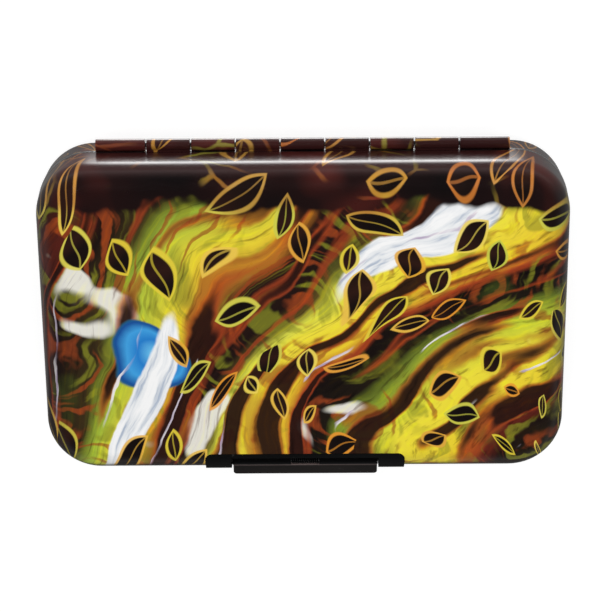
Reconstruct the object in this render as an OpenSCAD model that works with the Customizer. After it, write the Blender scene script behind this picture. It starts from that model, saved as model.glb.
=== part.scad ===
// Pocket fly box: two pressed aluminium halves on a piano hinge, closed by a
// sprung thumb latch, with a moulded liner and a slit foam pad in each half.
// Origin: centre of the base's flat face. Hinge toward +Y, latch toward -Y.

/* [Case] */
// Outer width along the hinge, at the rim
case_w = 152; // [140:1:180]
// Outer depth from hinge wall to latch wall, at the rim
case_d = 95; // [88:1:120]
// Height of one half, from its flat face to its rim
half_h = 15; // [14:0.5:20]
// Gap between the two rims when shut
parting_gap = 0.4; // [0.3:0.05:0.6]
// Plan radius of the four corners at the rim
corner_r = 16; // [13:0.5:20]
// Radius where the walls turn into the flat face
edge_r = 7; // [4:0.25:7.5]
// How far each wall leans in from rim to face
draft = 0.6; // [0.3:0.05:1]
// Thickness of the pressed sheet
skin = 1; // [0.8:0.05:1.2]

/* [Hinge] */
// Length of the row of knuckles
hinge_w = 117.5; // [110:0.5:124]
// Number of knuckles, shared between the two leaves
knuckle_count = 9; // [5:2:9]
// Length taken by each inner knuckle
knuckle_pitch = 12.7; // [10:0.1:13.5]
// Free space between neighbouring knuckles
knuckle_gap = 0.35; // [0.2:0.05:0.5]
// Diameter of the hinge pin
pin_d = 1.7; // [1.5:0.1:2]
// Radial play of the pin in the knuckles
pin_play = 0.05; // [0.03:0.01:0.1]
// Thickness of the leaves
leaf_t = 0.8; // [0.6:0.05:0.9]
// How far a leaf reaches down inside its wall
leaf_drop = 7; // [5:0.5:8]
// Air between the barrel and the rear walls
barrel_clear = 0.2; // [0.15:0.05:0.4]
// Room round a leaf where it crosses a rim
notch_play = 0.15; // [0.1:0.05:0.3]

/* [Liners] */
// Wall and floor of the moulded liners
liner_t = 1; // [0.8:0.1:1.3]
// Room between shell and liner walls, for leaves and rivet tails
liner_gap = 1.6; // [1.4:0.1:1.8]
// Play between a liner's flange and the shell
flange_clear = 0.2; // [0.1:0.05:0.4]
// Height of the locating lip over the base rim
lip_h = 0.9; // [0.6:0.1:1.2]
// Thickness of the locating lip
lip_t = 0.8; // [0.6:0.1:1]
// Air between the lip and the lid's flange, and round the latch housing
lip_gap = 0.3; // [0.2:0.05:0.5]

/* [Foam] */
// Thickness of each foam pad
foam_t = 6; // [4:0.5:6.5]
// Distance from row to row of the pads
row_pitch = 7.4; // [6:0.1:9]
// Width of the channel between two rows
channel_w = 1.2; // [0.8:0.1:2]
// Depth of the channel between two rows
channel_depth = 1.6; // [1:0.1:2.5]
// Thickness of the adhesive sheet under a pad
tape_t = 0.3; // [0.2:0.05:0.5]
// Space between a pad and the liner wall
foam_clear = 0.2; // [0.1:0.05:0.6]

/* [Latch] */
// Width of the latch housing
housing_w = 58.5; // [56:0.5:70]
// How far the housing reaches in from the case front
housing_depth = 6.4; // [5.5:0.1:7]
// How far the housing stands out from the front wall
housing_proud = 0.9; // [0.5:0.1:1.2]
// How far the housing's ends stand out from the front wall
housing_end = 0.05; // [0:0.05:0.3]
// Plan radius of the housing's inner corners
housing_r = 2; // [1:0.25:4]
// Thickness of the housing's back, behind the lever
housing_back = 1.4; // [1.2:0.1:1.8]
// Play between the housing and its cut-out
housing_clear = 0.1; // [0.05:0.05:0.2]
// Width of the riveting ear at each end of the housing
ear_w = 5; // [4.5:0.25:7]
// Height of the ears
ear_h = 7; // [5:0.5:8]
// Distance from the lid's rim up to the ears
ear_up = 1; // [0.5:0.25:2]
// Thickness of the ears
ear_t = 1.5; // [1.2:0.1:1.6]
// Width of the lever
lever_w = 43; // [34:1:45]
// Free space at each end of the lever
lever_play = 0.2; // [0.15:0.05:0.5]
// Thickness of the lever's web and skirt
lever_t = 1.6; // [1.4:0.1:1.8]
// Diameter of the lever's barrel
lever_barrel_d = 3.4; // [3.2:0.1:3.6]
// Lever pivot, measured in from the case front
pivot_in = 2.3; // [2:0.1:2.6]
// Lever pivot, measured down from the lid's face
pivot_down = 5.4; // [5.2:0.1:6]
// How far the thumb lip stands out from the case front
thumb_out = 5.8; // [4.5:0.1:7]
// Height of the thumb lip's edge over the parting plane
thumb_up = 2.6; // [2:0.1:3]
// Slope of the thumb lip's upper face
thumb_ramp = 28; // [20:1:35]
// Thickness of the thumb lip at its edge
thumb_t = 1.4; // [1.2:0.1:1.8]
// Plan radius of the lever's outer corners
lever_r = 1; // [0.5:0.1:2]
// Diameter of the latch pin
latch_pin_d = 1.5; // [1.3:0.1:1.6]
// How far the latch pin sits in each cheek of the housing
pin_seat = 4; // [3:0.5:5]
// Wire of the latch spring
wire_d = 0.5; // [0.4:0.05:0.6]
// Length of the spring's coil
coil_w = 8; // [5:0.5:12]
// Length of the spring's leg along the lever
leg_l = 4.5; // [3:0.25:5]

/* [Catch] */
// Width of the catch plate
catch_w = 38; // [30:1:42]
// Thickness of the catch plate
catch_t = 0.6; // [0.5:0.05:0.8]
// Height of the catch plate
catch_h = 7; // [6.5:0.25:7.5]
// Distance from the parting plane down to the catch ledge
ledge_down = 1.8; // [1.4:0.1:2.2]
// How far the ledge stands out from the plate
ledge_out = 1.1; // [0.9:0.05:1.3]
// Thickness of the ledge
ledge_t = 1; // [0.8:0.1:1.2]
// How far the lever's nose reaches under the ledge
bite = 0.8; // [0.6:0.05:0.9]
// Free height between nose and ledge
bite_play = 0.3; // [0.25:0.05:0.4]
// Height of the lever's nose
nose_h = 1.5; // [1.2:0.1:2]
// Air between the ledge and the lever's skirt
skirt_play = 0.2; // [0.15:0.05:0.4]

/* [Rivets] */
// Diameter of the rivet shanks
rivet_d = 1.6; // [1.4:0.1:1.8]
// Diameter of the outer heads
rivet_head_d = 3; // [2.6:0.1:3.2]
// Height of the outer heads
rivet_head_h = 0.5; // [0.4:0.05:0.6]
// Distance from the catch plate's ends to its rivets
rivet_end = 3; // [2:0.25:5]
// Distance from the catch ledge down to its rivets
rivet_down = 3.4; // [2.5:0.1:4]
// Radial play of the rivets in their holes
rivet_play = 0.05; // [0.02:0.01:0.1]

/* [Hidden] */
$fn = 64;

PRINT = "olivedrab";
BARE = "silver";
STEEL = "lightgrey";
BLACK = [0.1, 0.1, 0.11];
LEVER = [0.27, 0.22, 0.21];
FOAM = [0.55, 0.56, 0.58];

far = 2 * case_w;                       // reaches past the whole case
past = 1;                               // how far a cut runs past the face it opens
lean = atan(draft / half_h);            // angle of the walls
shut_h = 2 * half_h + parting_gap;      // height of the shut case
front = case_d / 2;
rear = case_d / 2;
straight_w = case_w - 2 * corner_r;
straight_d = case_d - 2 * corner_r;

// Offset of a wall from the rim's outer edge, at a depth below the rim
function wall_at(depth, inside = 0) = -depth * tan(lean) - inside / cos(lean);

// Centre of the radius r that joins a floor to a wall, from a corner's axis
function bend_at(inside, floor_at, r) = [
    corner_r + wall_at(half_h - floor_at - r, inside + r),
    floor_at + r
];

end_knuckle = (hinge_w - (knuckle_count - 2) * knuckle_pitch) / 2;
barrel_d = pin_d + 2 * pin_play + 2 * leaf_t;
axis_y = rear + barrel_clear + barrel_d / 2;
rim_z = half_h + parting_gap;           // the lid's rim
parting_z = half_h + parting_gap / 2;   // the hinge axis lies in the parting plane
strap_end = axis_y - barrel_d / 4;      // straps run this far into their knuckles

liner_in = skin + liner_gap;            // from the outer skin to the liner wall
liner_bend = edge_r - liner_in;         // keeps the liner's bend inside the shell's
flange_in = skin + flange_clear;        // from the outer skin to the liners' flanges
lip_in = flange_in + notch_play;        // from the rim's outer edge to the lip
cavity_in = liner_in + liner_t;         // from the outer skin to the liner's inside
floor_z = skin + liner_t;               // top of the liner's floor
foam_z = floor_z + tape_t;              // underside of a pad
foam_top = foam_z + foam_t;
foot_in = liner_bend - liner_t;         // a pad's foot keeps off the liner's bend
pad_in = cavity_in + draft + foam_clear;

housing_in = front - housing_depth;     // back of the housing, outward from centre
pocket_back = housing_in + housing_back;
pivot_u = front - pivot_in;
pivot_z = shut_h - pivot_down;
lever_bore = latch_pin_d + 2 * pin_play;
pocket_w = lever_w + 2 * lever_play;
coil_r = lever_t / 2 + pin_play + wire_d / 2;
fall_share = 0.15;                       // share of a cheek, from the pocket, that stays level
ear_mid = ear_up + ear_h / 2;
ear_x = housing_w / 2 + ear_w / 2;

ledge_top = parting_z - ledge_down;
ledge_under = ledge_top - ledge_t;
ledge_tip = front + wall_at(half_h - ledge_under) + catch_t + ledge_out;
nose_tip = ledge_tip - bite;
nose_top = ledge_under - bite_play;
skirt_in = ledge_tip + skirt_play;      // inner face of the lever's skirt
skirt_out = skirt_in + lever_t;
tip_u = front + thumb_out;
tip_z = parting_z + thumb_up;
ramp_share = 0.2;                       // how deep in the web the lip's slope starts
ramp_u = skirt_in - ramp_share * lever_t;
web_end = skirt_out - lever_t / 4;      // the web ends inside the skirt
web_run = [web_end - pivot_u, parting_z + lever_t / 2 - pivot_z];
web_slope = atan2(web_run[1], web_run[0]);
catch_rivet_z = ledge_under - rivet_down;
catch_rivet_x = catch_w / 2 - rivet_end;
crown_share = 0.6;                      // crown of a rivet's head to its rim
tail_share = 0.8;                       // a rivet's tail to its head
hole_reach = skin + 2 * ear_t;          // rivet holes run past the ears

// ---------- shared shapes ----------

// Turns (outward, up) shapes to the front of the case
module at_front() {
    rotate([90, 0, -90])
        children();
}

// Runs an (outward, up) profile along the front or the rear of the case
module along_front(length) {
    at_front()
        linear_extrude(length, center = true)
            children();
}

module along_rear(length) {
    rotate([90, 0, 90])
        linear_extrude(length, center = true)
            children();
}

// Rounded rectangle as plain squares and circles, so its arcs stay true
module round_rect(w, d, r) {
    square([w - 2 * r, d], center = true);
    square([w, d - 2 * r], center = true);
    for (x = [-1, 1], y = [-1, 1])
        translate([x * (w / 2 - r), y * (d / 2 - r)])
            circle(r);
}

// Section under a wall that lies `inside` the skin, from a corner's axis outward,
// over a floor at `floor_at`, with radius r between the two
module wall_section(inside, floor_at, r) {
    bend = bend_at(inside, floor_at, r);
    down = [0, -2 * r];
    out = 2 * r * [cos(lean), -sin(lean)];
    intersection() {
        translate(bend) circle(r);
        polygon([bend, bend + down, bend + down + out, bend + out]);
    }
    polygon([
        bend + down / 4, bend + out / 2,
        [corner_r + wall_at(0, inside), half_h], [bend[0], half_h]
    ]);
}

// The same section, filled in to the middle of the case
module filled_section(inside, floor_at, r) {
    wall_section(inside, floor_at, r);
    translate([-straight_d / 2, floor_at])
        square([straight_d / 2 + bend_at(inside, floor_at, r)[0], half_h - floor_at]);
}

// Carries a section round the four corners and along the four sides
module sweep_round() {
    for (corner = [0:3])
        translate([
            (corner == 0 || corner == 3 ? 1 : -1) * straight_w / 2,
            (corner < 2 ? 1 : -1) * straight_d / 2
        ])
            rotate(90 * corner)
                rotate_extrude(angle = 90)
                    children();
    for (side = [0, 180])
        rotate(side) {
            translate([0, straight_d / 2])
                along_rear(straight_w)
                    children();
            translate([straight_w / 2, 0])
                rotate(-90)
                    along_rear(straight_d)
                        children();
        }
}

// Wall and bend of a tray of even thickness t
module tray_section(inside, floor_at, r, t) {
    difference() {
        wall_section(inside, floor_at, r);
        wall_section(inside + t, floor_at + t, r - t);
    }
}

// Flat floor of the same tray
module tray_floor(inside, floor_at, r, t) {
    flat_r = bend_at(inside, floor_at, r)[0];
    translate([0, 0, floor_at])
        linear_extrude(t)
            round_rect(straight_w + 2 * flat_r, straight_d + 2 * flat_r, flat_r);
}

// Turns a base-side shape into the lid's
module as_lid() {
    translate([0, 0, shut_h])
        mirror([0, 0, 1])
            children();
}

// Puts a rivet's axis square to the front wall, `depth` below the base's rim
module on_front_wall(x, depth) {
    translate([x, -(front + wall_at(depth)), half_h - depth])
        rotate([lean - 90, 0, 0])
            children();
}

// A rivet that clamps `outside` of plate over the skin and `within` under it
module rivet(outside, within) {
    translate([0, 0, -outside])
        cylinder(h = outside + skin + within, d = rivet_d);
    translate([0, 0, -outside - rivet_head_h])
        cylinder(h = rivet_head_h, d1 = crown_share * rivet_head_d, d2 = rivet_head_d);
    translate([0, 0, skin + within])
        cylinder(h = tail_share * rivet_head_h, d = tail_share * rivet_head_d);
}

module rivet_hole() {
    translate([0, 0, hole_reach - far / 2])
        cylinder(h = far / 2, d = rivet_d + 2 * rivet_play);
}

// ---------- shells ----------

module leaf_notch() {
    w = hinge_w + 2 * notch_play;
    translate([-w / 2, rear - liner_in, half_h - leaf_t - notch_play])
        cube([w, liner_in + past, leaf_t + notch_play + past]);
}

module half_shell() {
    difference() {
        union() {
            sweep_round()
                tray_section(0, 0, edge_r, skin);
            tray_floor(0, 0, edge_r, skin);
        }
        leaf_notch();
    }
}

module base_shell() {
    color(PRINT)
        difference() {
            half_shell();
            for (x = [-1, 1])
                on_front_wall(x * catch_rivet_x, half_h - catch_rivet_z)
                    rivet_hole();
        }
}

// Plan of the housing, or of its cut-out when grown by the clearance
module housing_plan(grow) {
    w = housing_w + 2 * grow;
    d = 2 * (front - housing_in + grow);
    translate([0, -front])
        round_rect(w, d, housing_r);
}

module lid_shell() {
    color(PRINT)
        difference() {
            as_lid() half_shell();
            translate([0, 0, rim_z - past])
                linear_extrude(shut_h)
                    housing_plan(housing_clear);
            as_lid()
                for (x = [-1, 1])
                    on_front_wall(x * ear_x, ear_mid)
                        rivet_hole();
        }
}

// ---------- hinge ----------

function knuckle_start(i) =
    -hinge_w / 2 + (i == 0 ? 0 : end_knuckle + (i - 1) * knuckle_pitch);
function knuckle_end(i) = i == knuckle_count - 1 ? hinge_w / 2 : knuckle_start(i + 1);

module knuckle(i) {
    x0 = knuckle_start(i) + (i == 0 ? 0 : knuckle_gap / 2);
    x1 = knuckle_end(i) - (i == knuckle_count - 1 ? 0 : knuckle_gap / 2);
    translate([x0, axis_y, parting_z])
        rotate([0, 90, 0])
            cylinder(h = x1 - x0, d = barrel_d);
    translate([x0, rear - skin, half_h - leaf_t])
        cube([x1 - x0, strap_end - rear + skin, leaf_t]);
}

// Leg down the inside of the wall and neck over the rim, from a corner's axis
module leaf_section() {
    foot = corner_r + wall_at(leaf_drop, skin);
    top = corner_r + wall_at(0, skin);
    t = leaf_t / cos(lean);
    polygon([
        [top, half_h], [foot, half_h - leaf_drop],
        [foot - t, half_h - leaf_drop], [top - t, half_h]
    ]);
    translate([top - t, half_h - leaf_t])
        square([corner_r - top + t, leaf_t]);
}

// Room that a section takes along the rear wall, as far as `w` reaches
module rear_part(w) {
    intersection() {
        sweep_round()
            children();
        translate([-w / 2, 0, 0])
            cube([w, case_d, shut_h]);
    }
}

// Leaf of the base: comb of knuckles, neck over the rim, leg down the wall
module hinge_leaf(first) {
    difference() {
        union() {
            for (i = [first:2:knuckle_count - 1])
                knuckle(i);
            rear_part(hinge_w)
                leaf_section();
        }
        translate([-far / 2, axis_y, parting_z])
            rotate([0, 90, 0])
                cylinder(h = far, d = pin_d + 2 * pin_play);
    }
}

module base_hinge_leaf() {
    color(PRINT) hinge_leaf(0);
}

module lid_hinge_leaf() {
    color(PRINT) as_lid() hinge_leaf(1);
}

module hinge_pin() {
    color(STEEL)
        translate([-hinge_w / 2, axis_y, parting_z])
            rotate([0, 90, 0])
                cylinder(h = hinge_w, d = pin_d);
}

// ---------- liners ----------

// Wall, bend and outward flange of a liner that ends at height `top`
module liner_section(top) {
    depth = half_h - top;
    root = liner_in + liner_t / 2;
    intersection() {
        union() {
            tray_section(liner_in, skin, liner_bend, liner_t);
            polygon([
                for (p = [[0, flange_in], [liner_t, flange_in], [liner_t, root], [0, root]])
                    [corner_r + wall_at(depth + p[0], p[1]), top - p[0]]
            ]);
        }
        square([far, top]);
    }
}

// The lip stands on the base liner's flange
module lip_section() {
    translate([corner_r - lip_in - lip_t, half_h - liner_t / 2])
        square([lip_t, lip_h + liner_t / 2]);
}

// Keeps the liners' flanges and lip off the hinge leaves
module leaf_relief() {
    depth = skin + leaf_t + 2 * notch_play;
    rear_part(hinge_w + 4 * notch_play)
        translate([corner_r - depth, half_h - leaf_drop])
            square([depth, leaf_drop + lip_h + past]);
}

module base_liner() {
    lip_break = housing_w + 2 * (ear_w + lip_t);
    color(BLACK)
        difference() {
            union() {
                sweep_round() {
                    liner_section(half_h);
                    lip_section();
                }
                tray_floor(liner_in, skin, liner_bend, liner_t);
            }
            leaf_relief();
            translate([-lip_break / 2, -front, half_h])
                cube([lip_break, lip_in + lip_t + past, lip_h + past]);
        }
}

// Room for the latch housing and its ears, grown by `grow`
module housing_room(grow, top) {
    w = housing_w + 2 * (ear_w + grow);
    translate([-w / 2, -front, -past])
        cube([w, housing_depth + grow, top + past]);
}

module lid_liner() {
    top = half_h - lip_h - lip_gap;
    color(BLACK)
        as_lid()
            difference() {
                union() {
                    sweep_round()
                        liner_section(top);
                    tray_floor(liner_in, skin, liner_bend, liner_t);
                    intersection() {
                        housing_room(lip_gap + liner_t, top);
                        translate([0, -straight_d / 2])
                            along_front(far)
                                filled_section(liner_in, skin, liner_bend);
                    }
                }
                housing_room(lip_gap, half_h);
                leaf_relief();
            }
}

// ---------- foam ----------

// Plan of a pad or its adhesive sheet, clear of the liner and the latch housing
module pad_plan(inside, front_cut) {
    w = housing_w + 2 * (ear_w + lip_gap + liner_t + foam_clear);
    difference() {
        round_rect(case_w - 2 * inside, case_d - 2 * inside, corner_r - inside);
        if (front_cut)
            translate([-w / 2, -front])
                square([w, housing_depth + lip_gap + liner_t + foam_clear]);
    }
}

module foam_tape(front_cut) {
    color("wheat")
        translate([0, 0, floor_z])
            linear_extrude(tape_t)
                pad_plan(pad_in + foot_in, front_cut);
}

module foam_pad(front_cut) {
    rows = floor((case_d - 2 * cavity_in) / row_pitch);
    color(FOAM)
        difference() {
            union() {
                translate([0, 0, foam_z])
                    linear_extrude(foot_in)
                        pad_plan(pad_in + foot_in, front_cut);
                translate([0, 0, floor_z + foot_in])
                    linear_extrude(foam_top - floor_z - foot_in)
                        pad_plan(pad_in, front_cut);
            }
            for (i = [1:rows - 1])
                translate([-far / 2, (i - rows / 2) * row_pitch - channel_w / 2, foam_top - channel_depth])
                    cube([far, channel_w, channel_depth + past]);
        }
}

module base_foam_tape() {
    foam_tape(false);
}

module lid_foam_tape() {
    as_lid() foam_tape(true);
}

module base_foam() {
    foam_pad(false);
}

module lid_foam() {
    as_lid() foam_pad(true);
}

// ---------- latch ----------

// Front section of the lid, pushed out by the housing's stand-out
module housing_section() {
    translate([straight_d / 2 + housing_proud, shut_h])
        mirror([0, 1])
            filled_section(0, 0, edge_r);
}

// The cheeks fall back to the shell toward the housing's ends
module housing_block() {
    start = pocket_w / 2 + fall_share * (housing_w - pocket_w) / 2;
    fall = atan((housing_proud - housing_end) / (housing_w / 2 - start));
    difference() {
        intersection() {
            along_front(far) housing_section();
            linear_extrude(far) housing_plan(0);
        }
        for (side = [-1, 1])
            translate([side * start, -front - housing_proud])
                rotate(side * fall)
                    translate([side * far / 4, -far / 4])
                        cube(far / 2, center = true);
    }
}

module housing_ears() {
    w = housing_w + 2 * ear_w;
    intersection() {
        translate([-w / 2, -far / 2, rim_z + ear_up])
            cube([w, far / 2, ear_h]);
        as_lid()
            translate([0, -straight_d / 2])
                along_front(far)
                    difference() {
                        wall_section(skin, skin, edge_r - skin);
                        wall_section(skin + ear_t, skin + ear_t, edge_r - skin - ear_t);
                    }
    }
}

module on_pivot() {
    at_front()
        translate([pivot_u, pivot_z])
            children();
}

module latch_housing() {
    color(BLACK)
        difference() {
            union() {
                housing_block();
                housing_ears();
            }
            along_front(pocket_w)
                translate([pocket_back, 0])
                    square(far);
            on_pivot()
                cylinder(h = pocket_w + 2 * pin_seat, d = lever_bore, center = true);
            as_lid()
                for (x = [-1, 1])
                    on_front_wall(x * ear_x, ear_mid)
                        rivet_hole();
        }
}

module housing_rivets() {
    color(BARE)
        as_lid()
            for (x = [-1, 1])
                on_front_wall(x * ear_x, ear_mid)
                    rivet(0, ear_t);
}

// Web from the barrel down to the thumb lip, skirt and nose
module lever_section() {
    translate([pivot_u, pivot_z]) {
        circle(d = lever_barrel_d);
        rotate(web_slope)
            translate([0, -lever_t / 2])
                square([norm(web_run), lever_t]);
    }
    polygon([
        [skirt_in, parting_z + lever_t],
        [skirt_in, nose_top],
        [nose_tip, nose_top],
        [nose_tip, nose_top - nose_h / 2],
        [skirt_in + lever_t / 2, nose_top - nose_h],
        [skirt_out, nose_top - nose_h],
        [skirt_out, parting_z],
        [tip_u, tip_z - thumb_t / 2],
        [tip_u, tip_z + thumb_t / 2],
        [ramp_u, tip_z + thumb_t / 2 + (tip_u - ramp_u) * tan(thumb_ramp)]
    ]);
}

module latch_lever() {
    color(LEVER)
        difference() {
            intersection() {
                along_front(lever_w) lever_section();
                linear_extrude(shut_h)
                    round_rect(lever_w, 2 * tip_u, lever_r);
            }
            on_pivot()
                cylinder(h = far, d = lever_bore, center = true);
            on_pivot()
                cylinder(h = coil_w + 2 * lever_play, d = lever_barrel_d + lever_play, center = true);
        }
}

module latch_pin() {
    color(STEEL)
        on_pivot()
            cylinder(h = pocket_w + 2 * pin_seat - 2 * pin_play, d = latch_pin_d, center = true);
}

// Torsion spring: coil round the pin, one leg on the housing, one on the lever
module latch_spring() {
    end = (coil_w - wire_d) / 2;
    back = pivot_u - pocket_back - pin_play;
    color(STEEL)
        on_pivot() {
            difference() {
                cylinder(h = coil_w, r = coil_r + wire_d / 2, center = true);
                cylinder(h = far, r = coil_r - wire_d / 2, center = true);
            }
            translate([0, coil_r, end])
                rotate([0, -90, 0])
                    cylinder(h = back, d = wire_d);
            rotate(web_slope)
                translate([0, coil_r, -end])
                    rotate([0, 90, 0])
                        cylinder(h = leg_l, d = wire_d);
        }
}

// ---------- catch ----------

module catch_section() {
    plate_foot = ledge_top - catch_h;
    plate_t = catch_t / cos(lean);
    top = front + wall_at(half_h - ledge_top);
    under = front + wall_at(half_h - ledge_under);
    foot = front + wall_at(half_h - plate_foot);
    polygon([
        [top, ledge_top], [foot, plate_foot], [foot + plate_t, plate_foot],
        [under + plate_t, ledge_under], [ledge_tip, ledge_under], [ledge_tip, ledge_top]
    ]);
}

module catch_plate() {
    color(BLACK)
        difference() {
            along_front(catch_w) catch_section();
            for (x = [-1, 1])
                on_front_wall(x * catch_rivet_x, half_h - catch_rivet_z)
                    rivet_hole();
        }
}

module catch_rivets() {
    color(BARE)
        for (x = [-1, 1])
            on_front_wall(x * catch_rivet_x, half_h - catch_rivet_z)
                rivet(catch_t, 0);
}

base_shell();
lid_shell();
base_hinge_leaf();
lid_hinge_leaf();
hinge_pin();
base_liner();
lid_liner();
base_foam_tape();
lid_foam_tape();
base_foam();
lid_foam();
latch_housing();
housing_rivets();
latch_lever();
latch_pin();
latch_spring();
catch_plate();
catch_rivets();
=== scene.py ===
"""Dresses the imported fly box: printed case, piano hinge, latch, liners and slit foam."""
import math

import bmesh
import bpy
import numpy as np
from mathutils import Matrix, Vector


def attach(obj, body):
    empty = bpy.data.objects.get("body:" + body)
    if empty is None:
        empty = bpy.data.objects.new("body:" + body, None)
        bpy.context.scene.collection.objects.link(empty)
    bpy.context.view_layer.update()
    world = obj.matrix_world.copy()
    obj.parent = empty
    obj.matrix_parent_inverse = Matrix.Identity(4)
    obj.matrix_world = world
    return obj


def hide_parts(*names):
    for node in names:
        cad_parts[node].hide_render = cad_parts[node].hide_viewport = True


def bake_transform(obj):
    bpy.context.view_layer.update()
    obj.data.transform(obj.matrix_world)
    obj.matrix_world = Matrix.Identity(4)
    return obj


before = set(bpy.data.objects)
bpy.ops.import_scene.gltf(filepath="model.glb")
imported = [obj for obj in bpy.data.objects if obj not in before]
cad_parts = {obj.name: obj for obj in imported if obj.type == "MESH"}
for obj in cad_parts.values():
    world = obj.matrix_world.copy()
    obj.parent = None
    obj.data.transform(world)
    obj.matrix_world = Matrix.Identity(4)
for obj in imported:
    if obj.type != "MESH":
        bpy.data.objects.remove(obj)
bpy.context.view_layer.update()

MM = 0.001
PER_MM = 1000
scene = bpy.context.scene

# Sizes of the case in millimetres, as in the solids
CASE_W, CASE_D, HALF_H = 152.0, 95.0, 15.0
PARTING = 0.4
SHUT_H = 2 * HALF_H + PARTING
CORNER_R, EDGE_R = 16.0, 7.0
DRAFT = 0.6
LEAN = math.atan(DRAFT / HALF_H)
SKIN = 1.0
RIM_ROUND = 0.22
STRAIGHT_W, STRAIGHT_D = CASE_W - 2 * CORNER_R, CASE_D - 2 * CORNER_R
FRONT = REAR = CASE_D / 2
HINGE_W = 117.5
BARREL_D, PIN_BORE = 3.4, 1.8
AXIS_Y, AXIS_Z = 49.4, 15.2


# ---------- meshes ----------

def in_scene(name, mesh):
    """An object of this mesh, linked to the scene."""
    made = bpy.data.objects.new(name, mesh)
    scene.collection.objects.link(made)
    return made


def set_map(mesh, key, pairs):
    """Fills a UV map from one pair for each point."""
    corners = np.zeros(len(mesh.loops), dtype=np.int32)
    mesh.loops.foreach_get("vertex_index", corners)
    layer = mesh.uv_layers.get(key) or mesh.uv_layers.new(name=key)
    layer.data.foreach_set("uv", np.asarray(pairs, float)[corners].ravel())


def make_object(name, verts, faces, finishes, face_finish=None, maps=None, edges=()):
    """A mesh object from points in millimetres; maps holds one UV pair for each point."""
    mesh = bpy.data.meshes.new(name)
    mesh.from_pydata([Vector(v) * MM for v in verts], edges, faces)
    for finish in finishes:
        mesh.materials.append(finish)
    if face_finish is not None:
        mesh.polygons.foreach_set("material_index", face_finish)
    for key, pairs in (maps or {}).items():
        set_map(mesh, key, pairs)
    return in_scene(name, mesh)


def settle(piece):
    """Turns the piece's modifiers into a plain mesh and takes them off."""
    bpy.context.view_layer.update()
    graph = bpy.context.evaluated_depsgraph_get()
    mesh = bpy.data.meshes.new_from_object(
        piece.evaluated_get(graph), preserve_all_data_layers=True, depsgraph=graph)
    piece.modifiers.clear()
    piece.data = mesh
    mesh.name = piece.name
    return piece


def smooth(piece, sharp=32):
    """Smooth shading that keeps flat faces flat and corners crisp."""
    mesh = piece.data
    mesh.polygons.foreach_set("use_smooth", [True] * len(mesh.polygons))
    mesh.set_sharp_from_angle(angle=math.radians(sharp))
    weigh = piece.modifiers.new("Weigh", "WEIGHTED_NORMAL")
    weigh.keep_sharp = True
    weigh.weight = 80
    return settle(piece)


def drop(*objects):
    for thing in objects:
        bpy.data.objects.remove(thing)


def cut(piece, cutter):
    """Takes the cutter's volume out of the piece, and the cutter out of the scene."""
    blade = piece.modifiers.new("Cut", "BOOLEAN")
    blade.operation = "DIFFERENCE"
    blade.solver = "EXACT"
    blade.material_mode = "TRANSFER"
    blade.object = cutter
    settle(piece)
    drop(cutter)
    return piece


def side_faces(n):
    """Side faces of a prism whose two outlines hold n points each."""
    return [(i, (i + 1) % n, (i + 1) % n + n, i + n) for i in range(n)]


def block(name, low, high, finish):
    """A plain box between two corners, used as a cutter or a core."""
    verts = [(x, y, z) for z in (low[2], high[2])
             for x, y in ((low[0], low[1]), (high[0], low[1]), (high[0], high[1]), (low[0], high[1]))]
    return make_object(name, verts, [(3, 2, 1, 0), (4, 5, 6, 7)] + side_faces(4), [finish])


def plan_stations(per_corner=18, along=8):
    """Corner axis and outward direction of each station round the case."""
    stations = []
    signs = [(1, 1), (-1, 1), (-1, -1), (1, -1)]
    for corner, (sx, sy) in enumerate(signs):
        here = np.array([sx * STRAIGHT_W / 2, sy * STRAIGHT_D / 2])
        for k in range(per_corner + 1):
            turn = (corner + k / per_corner) * math.pi / 2
            stations.append((here, np.array([math.cos(turn), math.sin(turn)])))
        nx, ny = signs[(corner + 1) % 4]
        there = np.array([nx * STRAIGHT_W / 2, ny * STRAIGHT_D / 2])
        for k in range(1, along):
            stations.append((here + (there - here) * k / along, stations[-1][1]))
    return stations


def wall_at(depth, inside=0.0):
    """How far the wall lies from its place at the rim, at this depth below the rim."""
    return -depth * math.tan(LEAN) - inside / math.cos(LEAN)


def bend(inside, floor_at, r, steps):
    """The pressed bend from the flat face up to the wall, as (out, up) points."""
    out = CORNER_R + wall_at(HALF_H - floor_at - r, inside + r)
    turns = [-math.pi / 2 + (math.pi / 2 - LEAN) * k / steps for k in range(steps + 1)]
    return [(out + r * math.cos(turn), floor_at + r + r * math.sin(turn)) for turn in turns]


def tray_profile():
    """Points (out, up, unrolled, below the rim) from the outer floor round the rim to the inner floor."""
    outer = bend(0, 0, EDGE_R, 14)
    inner = bend(SKIN, SKIN, EDGE_R - SKIN, 10)
    wall = [(CORNER_R + wall_at(d), HALF_H - d) for d in (6, 3, 1)]
    rim = []
    for centre, quarter in ((CORNER_R - RIM_ROUND, 0), (CORNER_R + wall_at(0, SKIN) + RIM_ROUND, 1)):
        for k in range(4):
            turn = math.pi / 2 * (quarter + k / 3)
            rim.append((centre + RIM_ROUND * math.cos(turn),
                        HALF_H - RIM_ROUND + RIM_ROUND * math.sin(turn)))
    path = outer + wall + rim
    unrolled = [outer[0][0]]
    for a, b in zip(path, path[1:]):
        unrolled.append(unrolled[-1] + math.dist(a, b))
    points = [(out, up, run, HALF_H - up) for (out, up), run in zip(path, unrolled)]
    points += [(out, up, unrolled[-1], HALF_H) for out, up in reversed(inner)]
    return points, len(outer) + len(wall)


PROFILE, PAINTED = tray_profile()


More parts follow.
